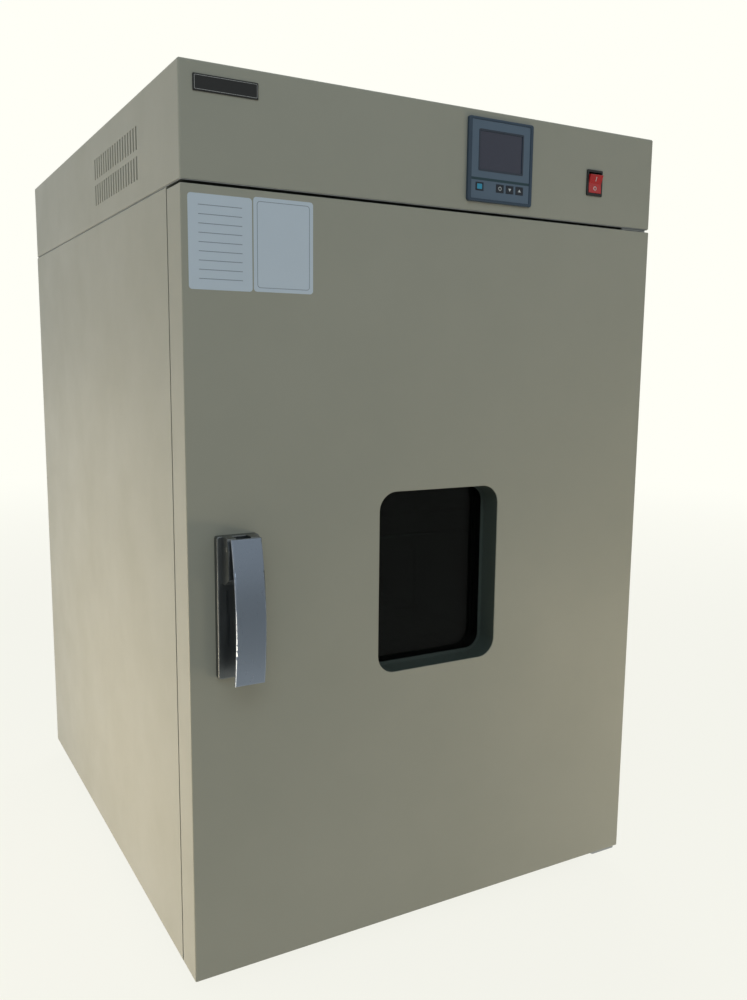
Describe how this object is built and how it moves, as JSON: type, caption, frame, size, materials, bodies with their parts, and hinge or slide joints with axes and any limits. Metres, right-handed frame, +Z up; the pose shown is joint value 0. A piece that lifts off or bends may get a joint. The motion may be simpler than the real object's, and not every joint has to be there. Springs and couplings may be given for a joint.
{
  "type": "forced-air drying oven",
  "caption": "Upright laboratory drying oven with a windowed door, pull handle and latch, wire shelves in a stainless chamber, rear fan and heater, and a control hood on top.",
  "frame": {"origin": "on the floor, under the middle of the oven's box", "axes": "+Z up, the door and controls face -Y, +X to the right seen from the front"},
  "size_m": [0.65, 0.8553, 1.044],
  "materials": {
    "casing_paint": "satin",
    "stainless": "satin",
    "zinc_steel": "satin",
    "satin_chrome": "satin",
    "black_metal": "matte",
    "window_glass": "gloss",
    "silicone": "matte",
    "black_rubber": "matte",
    "wool": "matte",
    "controller_grey": "matte",
    "screen": "gloss",
    "key_plastic": "matte",
    "black_plastic": "satin",
    "red_plastic": "gloss",
    "badge_black": "satin",
    "heater_steel": "matte",
    "aluminium": "satin"
  },
  "bodies": {
    "cabinet": {"body_shell": "casing_paint", "rear_panel": "casing_paint", "front_frame": "casing_paint", "header_hood": "casing_paint", "header_deck": "zinc_steel", "feet": "black_rubber", "chamber_liner": "stainless", "insulation_jacket": "wool", "rear_insulation": "wool", "inner_back_panel": "zinc_steel", "air_baffle": "stainless", "fan_motor": "black_metal", "shaft_bush": "zinc_steel", "heater_coil": "heater_steel", "temperature_probe": "stainless", "strip_front_left": "stainless", "strip_rear_left": "stainless", "strip_front_right": "stainless", "strip_rear_right": "stainless", "shelf_clips": "stainless", "upper_hinge_plate": "zinc_steel", "lower_hinge_plate": "zinc_steel", "latch_keeper": "zinc_steel", "controller_body": "controller_grey", "display_lens": "screen", "rocker_bezel": "black_plastic", "exhaust_duct": "zinc_steel", "exhaust_port": "black_plastic", "cable_gland": "black_plastic", "name_plate": "badge_black", "casing_screws": "zinc_steel", "heater_relay": "aluminium"},
    "door": {"door_skin": "casing_paint", "door_inner_panel": "stainless", "door_insulation": "wool", "window_reveal": "casing_paint", "outer_glass": "window_glass", "glass_spacer": "black_plastic", "inner_glass": "window_glass", "glass_clamp": "stainless", "clamp_screws": "zinc_steel", "door_gasket": "silicone", "hinge_bushes": "black_plastic", "handle_base": "satin_chrome", "handle_pin": "zinc_steel", "lever_spring": "zinc_steel"},
    "handle": {"handle_lever": "satin_chrome", "latch_hook": "zinc_steel"},
    "fan": {"fan_shaft": "zinc_steel", "fan_impeller": "aluminium", "fan_nut": "zinc_steel"},
    "upper_rack": {"upper_shelf": "stainless"},
    "lower_rack": {"lower_shelf": "stainless"},
    "run_button": {"run_key": "key_plastic"},
    "shift_button": {"shift_key": "key_plastic"},
    "down_button": {"down_key": "key_plastic"},
    "up_button": {"up_key": "key_plastic"},
    "power_rocker": {"rocker_button": "red_plastic"},
    "exhaust_control": {"exhaust_dial": "black_plastic"}
  },
  "joints": [
    {"name": "door_hinge", "type": "hinge", "parent": "cabinet", "child": "door", "pos_m": [0.313, -0.3685, 0.463], "axis": [0, 0, 1], "range_deg": [0, 135]},
    {"name": "handle_pull", "type": "hinge", "parent": "door", "child": "handle", "pos_m": [-0.27025, -0.4025, 0.5275], "axis": [-1, 0, 0], "range_deg": [0, 20], "stiffness_Nm_per_rad": 1.2, "springref_deg": -6.88, "deforming": ["lever_spring"]},
    {"name": "fan_spin", "type": "hinge", "parent": "cabinet", "child": "fan", "pos_m": [0, 0.2575, 0.463], "axis": [0, 1, 0], "continuous": true},
    {"name": "upper_shelf_slide", "type": "slide", "parent": "cabinet", "child": "upper_rack", "axis": [0, -1, 0], "range_m": [0, 0.03]},
    {"name": "lower_shelf_slide", "type": "slide", "parent": "cabinet", "child": "lower_rack", "axis": [0, -1, 0], "range_m": [0, 0.03]},
    {"name": "run_press", "type": "slide", "parent": "cabinet", "child": "run_button", "axis": [0, 1, 0], "range_m": [0, 0.0008], "stiffness_N_per_m": 300},
    {"name": "shift_press", "type": "slide", "parent": "cabinet", "child": "shift_button", "axis": [0, 1, 0], "range_m": [0, 0.0008], "stiffness_N_per_m": 300},
    {"name": "down_press", "type": "slide", "parent": "cabinet", "child": "down_button", "axis": [0, 1, 0], "range_m": [0, 0.0008], "stiffness_N_per_m": 300},
    {"name": "up_press", "type": "slide", "parent": "cabinet", "child": "up_button", "axis": [0, 1, 0], "range_m": [0, 0.0008], "stiffness_N_per_m": 300},
    {"name": "rocker_tilt", "type": "hinge", "parent": "cabinet", "child": "power_rocker", "pos_m": [0.224, -0.3785, 0.9565], "axis": [1, 0, 0], "range_deg": [-18, 0]},
    {"name": "dial_turn", "type": "hinge", "parent": "cabinet", "child": "exhaust_control", "pos_m": [0, -0.0225, 1.0275], "axis": [0, 0, 1], "range_deg": [0, 60]}
  ]
}
